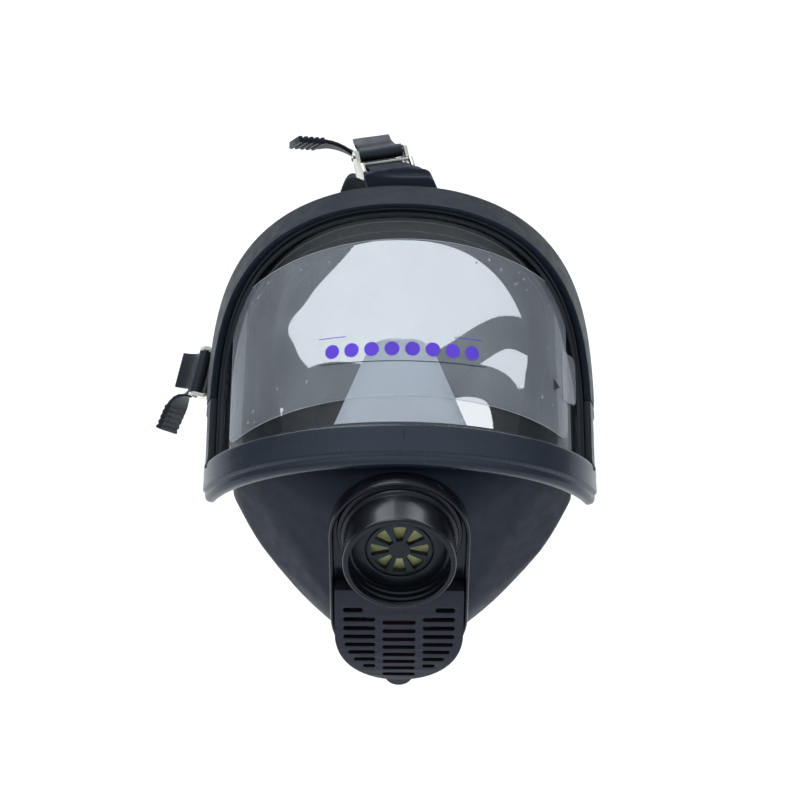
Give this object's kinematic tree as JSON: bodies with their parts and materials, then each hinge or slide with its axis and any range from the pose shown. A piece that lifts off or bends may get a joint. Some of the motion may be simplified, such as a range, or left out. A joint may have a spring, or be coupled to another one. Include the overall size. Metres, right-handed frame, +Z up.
{
  "type": "full face respirator",
  "caption": "Full face mask with a wide curved visor in a clamp frame, threaded air inlet, slotted exhalation cover, inner mask and buckled rubber head harness.",
  "frame": {"origin": "centre of the face opening, in the plane of the temples", "axes": "+Z up as worn, -Y out of the front of the mask, +X towards the wearer's left, which is the viewer's right"},
  "size_m": [0.2054, 0.1928, 0.243],
  "materials": {
    "face_rubber": "matte",
    "visor": "polished",
    "seal_rubber": "satin",
    "film": "polished",
    "frame_slate": "matte",
    "frame_black": "gloss",
    "steel": "brushed",
    "housing_black": "gloss",
    "black_plastic": "satin",
    "valve_yellow": "satin",
    "valve_red": "satin",
    "cup_silicone": "satin",
    "valve_white": "satin",
    "strap_rubber": "matte",
    "nickel": "polished",
    "lever_black": "satin"
  },
  "bodies": {
    "facepiece": {"face_blank": "face_rubber", "visor": "visor", "visor_seal": "seal_rubber", "visor_film": "film", "upper_frame": "frame_slate", "lower_frame": "frame_black", "frame_screws": "steel", "valve_housing": "housing_black", "inlet_gasket": "seal_rubber", "inhalation_grid": "black_plastic", "housing_ring": "black_plastic", "exhalation_seat": "black_plastic", "nose_cup": "cup_silicone", "nose_cup_valve_seats": "black_plastic", "head_harness": "strap_rubber", "buckle_frame_top": "nickel", "buckle_frame_temple_left": "nickel", "buckle_frame_temple_right": "nickel", "buckle_frame_jaw_left": "nickel", "buckle_frame_jaw_right": "nickel", "buckle_pins": "steel"},
    "inhalation_valve": {"inhalation_valve": "valve_yellow"},
    "exhalation_valve": {"exhalation_valve": "valve_red"},
    "exhalation_cover": {"exhalation_cover": "housing_black"},
    "nose_cup_valve_left": {"nose_cup_valve_left": "valve_white"},
    "nose_cup_valve_right": {"nose_cup_valve_right": "valve_white"},
    "buckle_lever_top": {"buckle_lever_top": "lever_black"},
    "buckle_lever_temple_left": {"buckle_lever_temple_left": "lever_black"},
    "buckle_lever_temple_right": {"buckle_lever_temple_right": "lever_black"},
    "buckle_lever_jaw_left": {"buckle_lever_jaw_left": "lever_black"},
    "buckle_lever_jaw_right": {"buckle_lever_jaw_right": "lever_black"}
  },
  "joints": [
    {"name": "inhalation_valve_lift", "type": "slide", "parent": "facepiece", "child": "inhalation_valve", "axis": [0, 0.866, 0.5], "range_m": [0, 0.0018]},
    {"name": "exhalation_valve_lift", "type": "slide", "parent": "facepiece", "child": "exhalation_valve", "axis": [0, -0.866, -0.5], "range_m": [0, 0.002], "stiffness_N_per_m": 40, "springref_m": -0.0005},
    {"name": "exhalation_cover_off", "type": "slide", "parent": "facepiece", "child": "exhalation_cover", "axis": [0, -0.866, -0.5], "range_m": [0, 0.03]},
    {"name": "nose_cup_valve_left_lift", "type": "slide", "parent": "facepiece", "child": "nose_cup_valve_left", "axis": [1, 0, 0], "range_m": [0, 0.0012]},
    {"name": "nose_cup_valve_right_lift", "type": "slide", "parent": "facepiece", "child": "nose_cup_valve_right", "axis": [-1, 0, 0], "range_m": [0, 0.0012]},
    {"name": "buckle_lever_top_lift", "type": "hinge", "parent": "facepiece", "child": "buckle_lever_top", "pos_m": [-0.01, -0.02145, 0.10731], "axis": [0.9612, 0.2286, 0.1543], "range_deg": [0, 70]},
    {"name": "buckle_lever_temple_left_lift", "type": "hinge", "parent": "facepiece", "child": "buckle_lever_temple_left", "pos_m": [-0.09508, 0.0122, 0.00597], "axis": [0.2259, 0.2206, 0.9488], "range_deg": [0, 70]},
    {"name": "buckle_lever_temple_right_lift", "type": "hinge", "parent": "facepiece", "child": "buckle_lever_temple_right", "pos_m": [0.08179, 0.02087, 0.00752], "axis": [0.1156, 0.0565, -0.9917], "range_deg": [0, 70]},
    {"name": "buckle_lever_jaw_left_lift", "type": "hinge", "parent": "facepiece", "child": "buckle_lever_jaw_left", "pos_m": [-0.06029, 0.02034, -0.06267], "axis": [-0.5088, 0.1007, 0.855], "range_deg": [0, 70]},
    {"name": "buckle_lever_jaw_right_lift", "type": "hinge", "parent": "facepiece", "child": "buckle_lever_jaw_right", "pos_m": [0.06029, 0.02034, -0.06267], "axis": [-0.5088, -0.1007, -0.855], "range_deg": [0, 70]}
  ]
}
